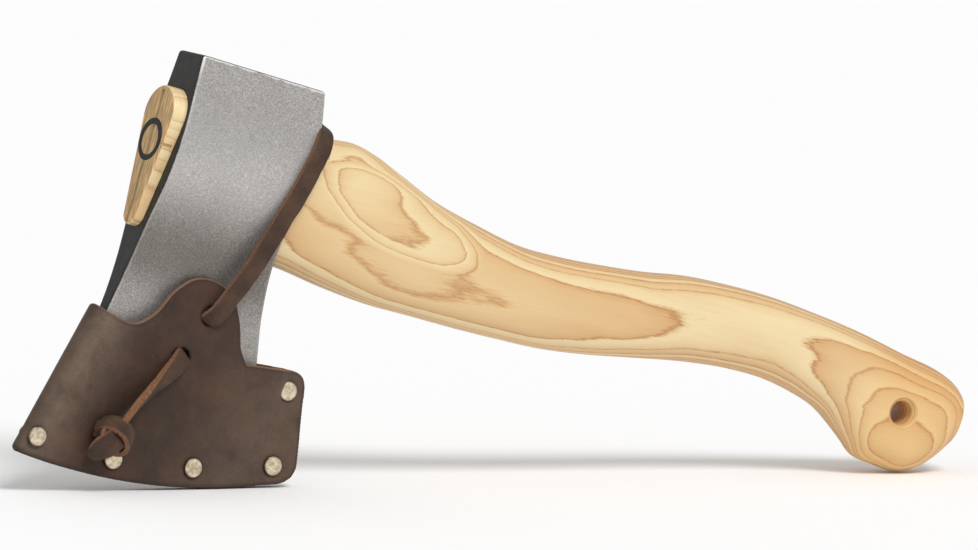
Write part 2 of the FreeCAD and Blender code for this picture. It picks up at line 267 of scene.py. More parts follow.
def makeCamera():
    azimuth = math.radians(view["azimuth"])
    elevation = math.radians(view["elevation"])
    back = Vector((math.sin(azimuth) * math.cos(elevation), -math.cos(azimuth) * math.cos(elevation),
                   math.sin(elevation)))
    spin = Matrix.Rotation(math.radians(view["slopeDifference"]), 3, "Y")
    facing = spin @ (-back).to_track_quat("-Z", "Y").to_matrix()
    target = origin + facing @ Vector((view["right"], -view["down"], 0)) * mm
    data = bpy.data.cameras.new("camera")
    data.lens = data.sensor_width * view["distance"] / (view["fieldWidth"] * mm)
    data.clip_end = 100
    camera = bpy.data.objects.new("camera", data)
    camera.matrix_world = Matrix.Translation(target + spin @ back * view["distance"]) @ facing.to_4x4()
    bpy.context.scene.collection.objects.link(camera)
    bpy.context.scene.camera = camera
    return facing, target


cameraFacing, cameraTarget = makeCamera()

studio = {"paper": "#ffffff", "world": "#ffffff", "worldStrength": 0.55, "floorSize": 60.0,
          "floorGap": 0.0004}
# name, direction towards the light in the camera's right, up and back, strength W/m2, softness in degrees
lamps = [("key", (0.45, 0.85, 0.8), 1.75, 22.0), ("fill", (-0.9, 0.35, 0.8), 0.25, 60.0)]


def makeStudio():
    floor = started(bpy.ops.mesh.primitive_plane_add, "floor", size=studio["floorSize"],
                    location=(0, 0, -studio["floorGap"]))
    paper, _, _ = newMaterial("paper_floor")  # matt white paper, evenly lit
    floor.data.materials.append(finishMaterial(paper, Base_Color=linear(studio["paper"]), Roughness=0.9))
    world = bpy.data.worlds.new("studio")
    world.use_nodes = True
    world.node_tree.nodes["Background"].inputs["Color"].default_value = linear(studio["world"])
    seen = addNode(world.node_tree, "LightPath", output="Is Camera Ray")
    strength = addNode(world.node_tree, "Math", seen, 1.0 - studio["worldStrength"],
                       studio["worldStrength"], operation="MULTIPLY_ADD")
    world.node_tree.links.new(strength, world.node_tree.nodes["Background"].inputs["Strength"])
    bpy.context.scene.world = world
    bpy.context.scene.view_settings.view_transform = "Standard"
    for name, direction, strength, softness in lamps:
        light = bpy.data.lights.new(name, "SUN")
        light.energy = strength
        light.angle = math.radians(softness)
        lamp = bpy.data.objects.new(name, light)
        way = (cameraFacing @ Vector(direction)).normalized()
        lamp.location = cameraTarget + way
        lamp.rotation_mode = "QUATERNION"
        lamp.rotation_quaternion = way.to_track_quat("Z", "Y")
        bpy.context.scene.collection.objects.link(lamp)


makeStudio()
print("camera and studio made")


head = {
    "toeSide": [(-122, -9.6), (-119, -9.2), (-100, -7.4), (-80, -4.6), (-67, -2.0), (-50, 0.5), (-32, 2.2),
                (-12, 3.8), (8, 5.2), (22, 6.2), (37, 7.0)],
    "heelSide": [(-122, 74.6), (-110, 73.6), (-92, 71.6), (-75, 69.0), (-55, 64.6), (-32, 62.0), (-12, 63.6),
                 (8, 65.7), (22, 65.3), (37, 63.4)],
    "thickness": [(-124, 2.0), (-100, 4.0), (-80, 6.0), (-60, 9.0), (-44, 13.4), (-29, 19.0), (-15, 26.0),
                  (-4, 28.6), (8, 28.2), (22, 24.0), (37, 21.0)],
    "pollTop": (36.9, -0.0278), "edgeCentre": (5.1, 117.8), "edgeRadius": 237.5,
    "bevelWidth": 22.0, "bevelThickness": 4.6, "edgeThickness": 0.5, "corner": 1.3,
    # rows down, chamfer rows, and columns over a cheek, a narrow side and a corner
    "rows": 110, "chamferRows": 5, "cheek": 64, "narrow": 10, "quarter": 5,
}
eye = {"roundZ": 10.2, "round": 11.7, "tipZ": -29.2, "tip": 5.0, "endOut": 0.6, "endLean": 0.04, "around": 96}


def pollTop(x):
    return head["pollTop"][0] + (x - 7) * head["pollTop"][1]


def edgeLow(x):
    cx, cz = head["edgeCentre"]
    return cz - np.sqrt(head["edgeRadius"] ** 2 - (x - cx) ** 2)


def halfThickness(x, z):
    cx, cz = head["edgeCentre"]
    fromEdge = head["edgeRadius"] - np.hypot(x - cx, z - cz)
    low, high = head["edgeThickness"] / 2, head["bevelThickness"] / 2
    bevel = low + np.clip(fromEdge, 0, None) * (high - low) / head["bevelWidth"]
    bevel = bevel + np.clip(fromEdge - head["bevelWidth"], 0, None) * 0.5
    return np.minimum(smoothCurve(head["thickness"], z) / 2, bevel)


def headPlace(turned, length):
    # the round runs over front cheek, heel side, back cheek and toe side, with rounded corners
    cheek, narrow = head["cheek"], head["narrow"]
    quarter = np.linspace(0, np.pi / 2, head["quarter"] + 2)[1:-1]
    sides = []
    for (bx0, by0), (bx1, by1), facing, count in (
            ((-1, -1), (1, -1), -90, cheek), ((1, -1), (1, 1), 0, narrow),
            ((1, 1), (-1, 1), 90, cheek), ((-1, 1), (-1, -1), 180, narrow)):
        for t in np.linspace(0, 1, count + 1):
            sides.append((bx0 + (bx1 - bx0) * t, by0 + (by1 - by0) * t, math.radians(facing)))
        for q in quarter:
            sides.append((bx1, by1, math.radians(facing) + q))
    sides.append(sides[0])
    table = np.array(sides)
    i = np.rint(turned * (len(table) - 1)).astype(int)
    bx, by, angle = table[i].T
    s = np.clip(length, 0, 1)
    rows = head["rows"]
    k = np.rint(s * (rows - 1))
    chamferRows = head["chamferRows"]
    turnIn = np.clip(1 - k / chamferRows, 0, 1) * np.pi / 2
    inward = head["corner"] * (1 - np.cos(turnIn))
    down = np.where(k < chamferRows, head["corner"] * (1 - np.sin(turnIn)), 0)
    t = np.clip((k - chamferRows) / (rows - 1 - chamferRows), 0, 1)
    x = 30 + 30 * bx
    for _ in range(6):
        top = pollTop(x) - down
        z = np.where(k < chamferRows, top, (pollTop(x) - head["corner"]) * (1 - t) + edgeLow(x) * t)
        toe = smoothCurve(head["toeSide"], z) + inward
        heel = smoothCurve(head["heelSide"], z) - inward
        deep = halfThickness(x, z) - inward * 0.9
        r = np.minimum(head["corner"], deep * 0.55)
        x = (toe + heel) / 2 + bx * ((heel - toe) / 2 - r) + r * np.cos(angle)
    y = by * (deep - r) + r * np.sin(angle)
    return np.array([x, y, z]).T


def endX(z):
    # the sawn end of the tongue stands further out towards its tip
    return -eye["endOut"] - eye["endLean"] * np.clip(-z, 0, None)


def teardrop(name, low, high, grow=0.0, stations=((0, 0), (1, 0)), sawn=False):
    # a bar with the eye's outline; stations are (share of length, inset)
    lean = math.asin((eye["round"] - eye["tip"]) / (eye["roundZ"] - eye["tipZ"]))

    def place(turned, length):
        angle = turned * 2 * np.pi
        # the outline is two arcs, the round one above and the tip below, joined by straight flanks
        up = np.sin(angle) > -math.sin(lean)
        centre = np.where(up, eye["roundZ"], eye["tipZ"])
        radius = np.where(up, eye["round"], eye["tip"])
        i = np.rint(length * (len(stations) - 1)).astype(int)
        at = np.array([s[0] for s in stations])[i]
        inset = np.array([s[1] for s in stations])[i]
        x = low + (high - low) * at
        radius = radius + grow - inset
        z = centre + radius * np.sin(angle)
        if sawn:
            x = np.where(at < 0.1, x + endX(z), x)
        return np.array([x, radius * np.cos(angle), z]).T

    return tube(name, eye["around"], len(stations) - 1, place)


def countRound():
    return 2 * (head["cheek"] + 1) + 2 * (head["narrow"] + 1) + 4 * head["quarter"]


def makeHead():
    obj = tube("axe_head_forging", countRound(), head["rows"] - 1, headPlace)
    carve(obj, teardrop("eye_cutter", -6, 80, 0.12))
    places = corners(obj.data)
    x, y, z = places.T
    sideGap = np.minimum(x - smoothCurve(head["toeSide"], z), smoothCurve(head["heelSide"], z) - x)
    topGap = pollTop(x) - z
    narrow = np.clip(np.minimum(sideGap, topGap), 0, None)
    cheek = np.clip(halfThickness(x, z) - np.abs(y), 0, None)
    setMeasure(obj, "narrowFace", cheek / (cheek + narrow + 0.02))
    setMeasure(obj, "fromCorner", cheek + narrow)
    return finish(obj, "axe", [forgedSteel()], ["axe_head"], 32)


def forgedSteel():
    # carbon steel, drop forged: the narrow faces keep their black scale, the cheeks are shot blasted
    # and lacquered, which gives an even light grey, with bright specks painted in as its fine sparkle;
    # the corners are worn bright, and at the poll's top chamfer this also paints the chamfer's highlight;
    # painted shade darkens the cheek's hollow and a painted highlight brightens its crown over the eye
    material, add, place = newMaterial("forged_carbon_steel")
    # grit marks of 0.3 mm, drawn coarse enough to show
    grit = add("TexNoise", place, Scale=1.7, Roughness=0.7)
    cloud = add("TexNoise", place, Scale=0.045, Roughness=0.55)
    dots = add("TexVoronoi", place, feature="F1", Scale=1.9, output=1)
    speck = add("SeparateColor", dots)
    blasted = add("ValToRGB", grit, stops=[(0.25, "#7b7875"), (0.43, "#9b9794"), (0.57, "#b2aeaa"),
                                           (0.75, "#dcd8d4")])
    # painted glints: random specks are brightened in the colour as the blasted finish's sparkle
    blasted = add("MixRGB", add("MapRange", speck, 0.75, 1.0, 0.0, 0.22), blasted, "#e3e0dc")
    blasted = add("MixRGB", add("MapRange", cloud, 0.35, 0.7, 0.0, 0.3), blasted, "#8a8889")
    height = add("SeparateXYZ", place, output=2)
    # painted shade: the hollow of the cheek is darkened in the colour
    shade = add("Math", add("MapRange", height, -40.0, -6.0, 1.0, 0.0),
                add("MapRange", height, -64.0, -44.0, 0.2, 1.0), operation="MULTIPLY")
    blasted = add("MixRGB", shade, blasted, "#bab6b1", blend_type="MULTIPLY")
    crownHighlight = add("Math", add("MapRange", height, -34.0, -6.0), add("MapRange", height, 0.0, 26.0, 0.85, 0.1),
                operation="MULTIPLY")
    # and a highlight is painted on its crown over the eye
    blasted = add("MixRGB", crownHighlight, blasted, "#6b6a68", blend_type="SCREEN")
    scaleTone = add("ValToRGB", add("TexNoise", place, Scale=0.35, Detail=4.0),
                    stops=[(0.3, "#141413"), (0.7, "#282826")])
    faceMask = add("Attribute", attribute_name="narrowFace", output="Fac")
    ragged = add("Math", add("TexNoise", place, Scale=0.6, Detail=2.0, Roughness=0.5), 0.5, faceMask,
                 operation="MULTIPLY_ADD")
    onScale = add("MapRange", ragged, 0.62, 0.86)
    colour = add("MixRGB", onScale, blasted, scaleTone)
    fromCorner = add("Attribute", attribute_name="fromCorner", output="Fac")
    reach = add("Math", add("TexNoise", place, Scale=0.12, Roughness=0.7), 2.4, -0.2,
                operation="MULTIPLY_ADD")
    # worn bright corners, weighted towards the poll's top, where this also paints the chamfer's highlight
    wornAndChamferHighlight = add("MapRange", add("Math", fromCorner, reach, operation="SUBTRACT"), -0.15, 0.15, 1.0, 0.0)
    wornAndChamferHighlight = add("Math", wornAndChamferHighlight, add("MapRange", faceMask, 0.72, 0.5, 0.0, 0.85), operation="MULTIPLY")
    wornAndChamferHighlight = add("Math", wornAndChamferHighlight, add("MapRange", height, 26.0, 34.0, 0.15, 1.0), operation="MULTIPLY")
    colour = add("MixRGB", wornAndChamferHighlight, colour, "#e4e2de")
    metal = add("MapRange", onScale, 0.0, 1.0, 0.55, 0.15)
    rough = add("MapRange", onScale, 0.0, 1.0, 0.46, 0.5)
    return finishMaterial(material, [(grit, 0.12, 0.5), (cloud, 0.5, 0.3)], Base_Color=colour,
                          Metallic=metal, Roughness=rough)


wood = {
    "top": [(58, 18.2), (62, 18.4), (78, 18.5), (86, 19), (95, 17.3), (110, 12), (127, 5.7), (149, 0.7),
            (170, -2.8), (190, -2.9), (210, -1.6), (227, 0), (247, 2.9), (266, 3.8), (286, 3.7), (307, 2),
            (328, -0.4), (350, -4.3), (371, -8.2), (376, -10.2), (381, -14.3), (382.5, -17.6), (383.4, -25)],
    "bottom": [(58, -35), (62, -35.4), (68, -35.9), (90, -38.8), (110, -40.5), (131, -40.6), (151, -40.8),
               (171, -40.5), (191, -39.8), (211, -37.4), (230, -34.2), (256.5, -29.9), (276, -28.2),
               (292.5, -28.4), (307, -30.7), (320, -34.5), (330, -40.3), (336.6, -44.8), (341.5, -48.5),
               (351, -50), (361, -50.4), (367.5, -48.1), (375.6, -41), (381.6, -31.5), (383.4, -25)],
    "thickness": [(58, 23.6), (76, 25.4), (95, 26.0), (112, 25.6), (130, 24.8), (150, 24.0), (171, 23.4),
                  (192, 23.0), (215, 22.6), (238, 22.2), (262, 21.8), (286, 22.0), (307, 23.2), (322, 24.8),
                  (336, 26.4), (350, 27.0), (363, 26.4), (372, 24.6), (378, 21.0), (381.5, 15.5),
                  (383.4, 0.2)],
    "power": 2.35, "around": 96, "along": 300,
    "hole": (351.6, -27.5), "holeRadius": 4.75, "holeChamfer": 1.5,
    "kerf": 2.0, "kerfRoot": 0.4, "kerfDepth": 38.0, "kerfZ": (-33.0, 20.0),
    "ringRadius": 8.6, "ringWall": 2.4, "ringDepth": 12.0, "tongueLength": 72, "slack": 0.05,
    "sawCut": (8.4, 5.6, 1.1), "sawPlace": (-0.5, 11.6, -0.6), "sawTilt": 0.12,
}


def gripPlace(turned, length):
    steps = wood["along"]
    k = np.rint(length * steps).astype(int)
    top = smoothPath(wood["top"], steps + 1)[k]
    bottom = smoothPath(wood["bottom"], steps + 1)[k]
    middle = (top + bottom) / 2
    reach = (top - bottom) / 2
    angle = turned * 2 * np.pi
    across = np.sign(np.cos(angle)) * np.abs(np.cos(angle)) ** (2 / wood["power"])
    up = np.sign(np.sin(angle)) * np.abs(np.sin(angle)) ** (2 / wood["power"])
    half = smoothCurve(wood["thickness"], middle[:, 0]) / 2
    return np.array([middle[:, 0] + reach[:, 0] * up, -half * across, middle[:, 1] + reach[:, 1] * up]).T


def bar(name, radius, low, high, centre, axis, profile=((0, 0), (1, 0)), around=48):
    # a round bar from low to high along x or y, with (share of length, change of radius) stations
    def place(turned, length):
        i = np.rint(length * (len(profile) - 1)).astype(int)
        at = low + (high - low) * np.array([p[0] for p in profile])[i]
        r = radius + np.array([p[1] for p in profile])[i]
        a, b = r * np.cos(turned * 2 * np.pi), r * np.sin(turned * 2 * np.pi)
        if axis == "x":
            return np.array([at, centre[0] + a, centre[1] + b]).T
        return np.array([centre[0] + a, at, centre[1] + b]).T
    return tube(name, around, len(profile) - 1, place)


def wedgeBlock(name, grow, front):
    # the tapered strip of the wooden wedge
    half, root = wood["kerf"] / 2 + grow, wood["kerfRoot"] / 2 + grow
    low, high = wood["kerfZ"][0] - grow, wood["kerfZ"][1] + grow
    obj = started(bpy.ops.mesh.primitive_cube_add, name, size=1)
    places = corners(obj.data)
    inner = places[:, 0] > 0
    y = np.sign(places[:, 1]) * np.where(inner, root, half)
    z = np.where(places[:, 2] > 0, high, low)
    x = np.where(inner, wood["kerfDepth"] + grow, front + endX(z))
    setCorners(obj.data, np.array([x, y, z]).T)
    return obj


def ringBlock(name, grow, front):
    outer = bar(name, wood["ringRadius"] + grow, front, wood["ringDepth"] + grow, (0, 0), "x",
                ((0, -0.25), (0.03, 0), (1, -0.9)), 72)
    inner = bar("ring_bore", wood["ringRadius"] - wood["ringWall"] - grow, front - 1,
                wood["ringDepth"] + 1 + grow, (0, 0), "x", ((0, 0.35), (0.1, 0), (1, 0.8)), 72)
    carve(outer, inner)
    return outer


def makeHandle():
    obj = tube("handle_ash", wood["around"], wood["along"], gripPlace)
    tongue = teardrop("tongue", 0.0, wood["tongueLength"], 0.0,
                      [(0, 1.0), (0.003, 0.55), (0.008, 0.2), (0.014, 0.0), (0.2, 0), (1, 0)], True)
    carve(obj, tongue, "UNION")
    x, z = wood["hole"]
    wide = wood["holeChamfer"]
    cutter = bar("hole_cutter", wood["holeRadius"], -18, 18, (x, z), "y",
                 ((0, wide * 4), (0.14, wide), (0.17, 0.35), (0.2, 0), (0.8, 0), (0.83, 0.35),
                  (0.86, wide), (1, wide * 4)))
    carve(obj, cutter)
    carve(obj, wedgeBlock("kerf_cutter", wood["slack"], -2))
    carve(obj, ringBlock("groove_cutter", wood["slack"], -3))
    x, y, z = wood["sawPlace"]
    for side in (-1, 1):
        carve(obj, started(bpy.ops.mesh.primitive_cube_add, "cross_saw_cut", size=1,
                           location=(x, side * y, z), scale=wood["sawCut"],
                           rotation=(side * wood["sawTilt"], 0, 0)))
    return finish(obj, "axe", [ashWood()], ["handle"], 38)


# distance of the pith behind the middle and below the axis, growth in a year, depth of a ring line,
# and the middle and half sizes of the oval under the shoulder, in mm
grain = {"pith": 62.0, "pithLow": 15.0, "year": 1.55, "lineDepth": 11.05, "ovalX": 114.0, "ovalLong": 37.0,
         "ovalHigh": 13.5}


def ashWood():
    # flat-sawn ash, sanded and oiled: the growth rings are cut at a low angle, so they draw nested
    # ovals and arches on the broad sides and run as close stripes along the top and the belly
    material, add, place = newMaterial("oiled_ash")
    axes = add("SeparateXYZ", place, output=None)
    slow = add("TexNoise", add("Mapping", place, Scale=(0.014, 0.05, 0.06), Location=(3.1, 3.1, 3.1)),
               Detail=2.0, Roughness=0.45)
    fibre = add("TexNoise", add("Mapping", place, Scale=(0.16, 1.3, 1.6)))
    far = add("Math", axes[1], grain["pith"], operation="SUBTRACT")
    low = add("Math", axes[2], grain["pithLow"], operation="ADD")
    depth = add("Math", add("Math", add("Math", far, far, operation="MULTIPLY"),
                            add("Math", low, low, operation="MULTIPLY"), operation="ADD"), operation="SQRT")
    depth = add("Math", depth, grain["pith"], operation="SUBTRACT")
    # the layers dip under the shoulder and the knob, which opens an oval there
    along = add("Math", axes[0], grain["ovalX"], operation="SUBTRACT")
    lean = add("Math", along, 0.17, axes[2], operation="MULTIPLY_ADD")
    ovalA = add("Math", along, grain["ovalLong"], operation="DIVIDE")
    ovalB = add("Math", add("Math", lean, 5.0, operation="ADD"), grain["ovalHigh"], operation="DIVIDE")
    oval = add("Math", add("Math", add("Math", ovalA, ovalA, operation="MULTIPLY"),
                           add("Math", ovalB, ovalB, operation="MULTIPLY"), operation="ADD"),
               operation="SQRT")
    oval = roughened(add, oval, slow, 0.9)
    depth = add("Math", depth, add("MapRange", oval, 0.72, 1.2, 2.8, 0.0), operation="ADD")
    depth = add("Math", depth, add("MapRange", axes[0], 322.0, 350.0, 0.0, 1.1), operation="ADD")
    depth = roughened(add, depth, slow, 2.4)
    depth = roughened(add, depth, fibre, 0.42)
    # the rings close up towards the pith
    under = add("Math", add("Math", add("Math", 11.0, depth, operation="SUBTRACT"), 0.0,
                            operation="MAXIMUM"), 10.0, operation="MINIMUM")
    ring = add("Math", add("Math", under, under, operation="MULTIPLY"), -0.028,
               add("Math", depth, grain["year"], operation="DIVIDE"), operation="MULTIPLY_ADD")
    ring = add("Math", ring, 20.0 - grain["lineDepth"] / grain["year"], operation="ADD")
    phase = add("Math", ring, operation="FRACT")
    year = add("Math", ring, operation="FLOOR")
    yearTone = add("TexWhiteNoise", noise_dimensions="1D", W=year)
    odd = add("Math", add("Math", add("Math", year, 1.0, operation="ADD"), 0.5, operation="MULTIPLY"),
              operation="FRACT")
    base = add("ValToRGB", phase, stops=[(0.0, "#bb8b58"), (0.03, "#c29461"), (0.1, "#d8b582"),
                                         (0.32, "#dfc18f"), (0.9, "#e7d1a2"), (0.97, "#d6b47e"),
                                         (1.0, "#bb8b58")])
    plain = add("MixRGB", 0.3, base, "#e7d7ae")
    colour = add("MixRGB", yearTone, base, plain)
    tint = add("Math", add("MapRange", add("Math", yearTone, 0.25, odd, operation="MULTIPLY_ADD"), 0.2,
                           0.65, 0.0, 0.42), add("MapRange", depth, 12.5, 12.7, 1.0, 0.0),
               operation="MULTIPLY")
    colour = add("MixRGB", tint, colour, "#deb184", blend_type="MULTIPLY")
    # towards the edges the rings close up and their lines darken, most along the belly, where this also
    # paints the belly's shade
    ringsAndBellyShade = add("MapRange", depth, 4.0, 11.2, 1.0, 0.0)
    ringsAndBellyShade = add("Math", ringsAndBellyShade, add("MapRange", depth, -4.0, 1.0, 0.15, 1.0, interpolation_type="LINEAR"),
                operation="MULTIPLY")
    nearLine = add("MapRange", add("Math", add("Math", phase, 0.5, operation="SUBTRACT"),
                                   operation="ABSOLUTE"), 0.2, 0.5, 0.25, 1.0)
    colour = add("MixRGB", add("Math", ringsAndBellyShade, nearLine, operation="MULTIPLY"), colour, "#d2a06a",
                 blend_type="MULTIPLY")
    knob = add("MapRange", axes[0], 316.0, 350.0, 0.0, 0.7)
    colour = add("MixRGB", knob, colour, "#f6dcb6", blend_type="MULTIPLY")
    streak = add("TexNoise", add("Mapping", place, Scale=(0.03, 1.6, 1.9)), Detail=4.0, Roughness=0.65)
    colour = add("MixRGB", add("MapRange", streak, 0.3, 0.75, 0.0, 0.16), colour, "#c9a169")
    pores = add("TexVoronoi", add("Mapping", place, Scale=(0.09, 0.7, 0.7)), feature="F1", Scale=1.0,
                Randomness=1.0)
    nearLine = add("MapRange", phase, 0.0, 0.3, 1.0, 0.15)
    pore = add("Math", add("MapRange", pores, 0.05, 0.13, 0.45, 0.0), nearLine, operation="MULTIPLY")
    colour = add("MixRGB", pore, colour, "#a9794a")
    # the tongue's end: end grain soaks up oil, so it is brown, with the rings as long streaks
    endCoords = add("Mapping", place, Scale=(0.02, 1.9, 0.12))
    endTone = add("ValToRGB", add("TexNoise", endCoords, Scale=0.9),
                  stops=[(0.4, "#5a3716"), (0.48, "#8a5826"), (0.55, "#ae7a3c"), (0.64, "#d0a666")])
    endEdge = add("Math", add("Math", axes[2], 0.0, operation="MINIMUM"), -eye["endLean"], axes[0],
                  operation="MULTIPLY_ADD")
    onEnd = add("MapRange", endEdge, 0.2 - eye["endOut"], 0.6 - eye["endOut"], 1.0, 0.0)
    colour = add("MixRGB", onEnd, colour, endTone)
    # painted highlight: where the tongue stands proud of the head its sides are mixed paler
    band = add("MapRange", axes[0], 4.8, 5.6, 0.25, 0.0)
    colour = add("MixRGB", band, colour, "#f2dfae")
    rough = add("MapRange", onEnd, 0.0, 1.0, 0.42, 0.75)
    chatter = add("TexNoise", add("Mapping", place, Scale=(0.9, 0.25, 0.25)))
    saw = add("Math", chatter, add("MapRange", axes[0], 4.8, 5.4, 1.0, 0.0), operation="MULTIPLY")
    return finishMaterial(material, [(streak, 0.05, 0.5), (saw, 0.5, 0.6)], Base_Color=colour,
                          Roughness=rough, Coat_Weight=0.12, Coat_Roughness=0.35)


def makeWedges():
    wedge = wedgeBlock("wooden_wedge_strip", 0.0, 0.3)
    modify(wedge, "BEVEL", width=0.12, segments=2)
    finish(wedge, "axe", [wedgeWood()], ["wooden_wedge"])
    ring = ringBlock("ring_wedge_steel", 0.0, -0.6 - eye["endOut"])
    finish(ring, "axe", [blackSteel()], ["ring_wedge"])


def wedgeWood():
    # a thin birch wedge, driven and sawn off: its end grain is greyer than the tongue round it
    material, add, place = newMaterial("sawn_birch")
    fibres = add("TexNoise", add("Mapping", place, Scale=(0.2, 2.0, 0.25)), Detail=4.0)
    colour = add("ValToRGB", fibres, stops=[(0.3, "#6f6148"), (0.55, "#97855c"), (0.75, "#ad9a6c")])
    return finishMaterial(material, [(fibres, 0.1, 0.6)], Base_Color=colour, Roughness=0.8)


def blackSteel():
    # mild steel tube with its black mill scale, slightly scuffed where it was hammered
    material, add, place = newMaterial("black_mild_steel")
    scuff = add("TexNoise", place, Scale=0.9, Detail=4.0, Roughness=0.65)
    colour = add("ValToRGB", scuff, stops=[(0.35, "#121213"), (0.6, "#1d1c1c"), (0.8, "#3b3836")])
    return finishMaterial(material, [(scuff, 0.06, 0.5)], Base_Color=colour, Roughness=0.55, Metallic=0.3)


sheath = {
    "foldLow": (-24.9, -128.4), "foldHigh": (-7.0, -67.0),
    "mouth": [(-7.0, -67.0), (0.4, -69.9), (8.7, -70.6), (15.3, -65.4), (21.6, -54.6), (30.0, -47.6),
              (40.7, -47.5), (49.4, -53.4), (53.6, -60.5), (57.6, -70.6), (61.4, -75.2)],
    "heelCorners": [(61.4, -75.2), (70.0, -74.2), (80.0, -73.3), (86.6, -73.1), (89.4, -74.2), (91.2, -76.6),
                    (92.0, -80.0), (92.8, -85.0)],
    "lowCorner": [(92.8, -85.0), (94.5, -94.7), (96.4, -105.0), (97.0, -109.6), (96.1, -113.2),
                  (93.2, -116.2), (87.2, -118.6)],
    "rimRadius": 250.0, "rimEndX": 84.5, "rimStartX": -22.9,
    "thickness": 2.7, "gap": 3.0, "voxel": 0.72,
    "pocket": [(-140.0, 1.5), (-118.0, 1.6), (-102.0, 3.3), (-85.0, 5.6), (-60.0, 7.3), (-40.0, 7.3)],
    "heelLine": ((80.1, -75.2), (77.7, -109.0)), "bitRadius": 237.5, "soft": 9.0, "hole": 4.0,
}
rivets = {"places": [(-18.0, -123.2), (16.9, -124.4), (52.1, -119.8), (86.2, -111.2), (84.2, -81.4)],
          "radius": 3.9, "rise": 1.35, "post": 1.5, "backSize": 0.87}
foldWay = np.array(sheath["foldHigh"]) - np.array(sheath["foldLow"])
foldLength = np.linalg.norm(foldWay)
foldWay = foldWay / foldLength
foldSide = np.array([foldWay[1], -foldWay[0]])


def toFlat(points):
    # (x, z) on the front panel to (distance from the fold, place along the fold)
    offset = np.array(points, float) - np.array(sheath["foldLow"])
    return np.array([offset @ foldSide, offset @ foldWay]).T


def fromFlat(across, along):
    return np.array(sheath["foldLow"]) + np.outer(across, foldSide) + np.outer(along, foldWay)


def panelOutline():
    cx, cz = head["edgeCentre"]
    rimX = np.linspace(sheath["rimEndX"], sheath["rimStartX"], 70)
    rim = np.array([rimX, cz - np.sqrt(sheath["rimRadius"] ** 2 - (rimX - cx) ** 2)]).T
    parts = [smoothPath(sheath["mouth"], 70), smoothPath(sheath["heelCorners"], 36)[1:],
             smoothPath(sheath["lowCorner"], 30)[1:], rim, np.array([(-24.2, -129.4)])]
    return np.concatenate(parts)


def halfGap(x, z, riveted=True):
    # half the distance between the middles of the two leather panels
    cx, cz = head["edgeCentre"]
    (hx, hz), (lx, lz) = sheath["heelLine"]
    fromRim = sheath["bitRadius"] - np.hypot(x - cx, z - cz)
    fromHeel = (hx + (lx - hx) * (z - hz) / (lz - hz)) - x
    low = sheath["gap"] / 2 + sheath["thickness"] / 2
    pocket = smoothCurve(sheath["pocket"], z) + sheath["thickness"] / 2
    rise = smoothStep(fromRim / sheath["soft"] + 0.5) * smoothStep(fromHeel / sheath["soft"] + 0.5)
    gap = low + np.clip(pocket - low, 0, None) * rise
    for rx, rz in rivets["places"] if riveted else ():
        away = np.hypot(x - rx, z - rz)
        gap = gap - 0.6 * np.exp(-((away - 3.2) / 1.5) ** 2)
    return gap


def leatherMiddle(q, v):
    # the middle of the leather: q > 0 is the front panel, q < 0 the back, round the fold between
    x, z = fromFlat(np.abs(q), v).T
    edge = fromFlat(np.zeros_like(v), v)
    radius = halfGap(edge[:, 0] + 6, edge[:, 1], False)
    reach = np.clip(np.abs(q) / radius, 0, 1) * np.pi / 2
    around = np.abs(q) < radius
    inner = sheath["thickness"] / 2  # so that the fold's outer face lies on the fold line
    across = np.where(around, inner + (radius - inner) * (1 - np.cos(reach)), np.abs(q))
    flat = halfGap(x, z)
    out = np.where(around, np.minimum(radius, flat) * np.sin(reach), flat)
    out = out * (1 - 0.3 * (1 - smoothStep(np.abs(q) / 17)))  # pulled close round the fold
    xz = fromFlat(across, v)
    wave = 0.35 * np.sin(xz[:, 0] / 17 + 1.3) * np.sin(xz[:, 1] / 13)
    out = out + wave * smoothStep((np.abs(q) - 10) / 10) * np.clip((flat - 3.4) / 3, 0, 1)
    return np.array([xz[:, 0], -np.sign(q + 1e-9) * out, xz[:, 1]]).T


def foldSheet(obj, thickness):
    # bends the flat sheet, whose z runs from 0 inside to thickness outside, round the head
    q, v, w = corners(obj.data).T
    step = 0.4
    middle = leatherMiddle(q, v)
    alongQ = leatherMiddle(q + step, v) - leatherMiddle(q - step, v)
    alongV = leatherMiddle(q, v + step) - leatherMiddle(q, v - step)
    normal = np.cross(alongQ, alongV)
    normal = normal / np.linalg.norm(normal, axis=1)[:, None]
    # q grows from back to front, so the normal keeps one sense all the way round
    sense = 1.0 if (normal[q > 20] @ np.array([0, -1, 0])).mean() > 0 else -1.0
    setCorners(obj.data, middle + normal * sense * (w - thickness / 2)[:, None])


def flatPiece(name, outline, thickness):
    # a sheet cut to a closed outline, its foot at z = 0
    obj = started(bpy.ops.mesh.primitive_circle_add, name, vertices=len(outline), radius=1,
                  fill_type="NGON")
    setCorners(obj.data, np.column_stack([outline, np.zeros(len(outline))]))
    activate(obj)
    bpy.ops.object.mode_set(mode="EDIT")
    bpy.ops.mesh.select_all(action="SELECT")
    bpy.ops.mesh.normals_make_consistent(inside=False)
    bpy.ops.mesh.extrude_region_move(TRANSFORM_OT_translate={"value": (0, 0, thickness)})
    bpy.ops.mesh.select_all(action="SELECT")
    bpy.ops.mesh.normals_make_consistent(inside=False)
    bpy.ops.object.mode_set(mode="OBJECT")
    return obj


def outlineGap(points, outline):
    # distance from each (x, z) point to a closed outline
    best = np.full(len(points), 1e9)
    for a, b in zip(outline, np.roll(outline, -1, axis=0)):
        way = b - a
        t = np.clip(((points - a) @ way) / max(way @ way, 1e-9), 0, 1)
        best = np.minimum(best, np.linalg.norm(points - (a + t[:, None] * way), axis=1))
    return best


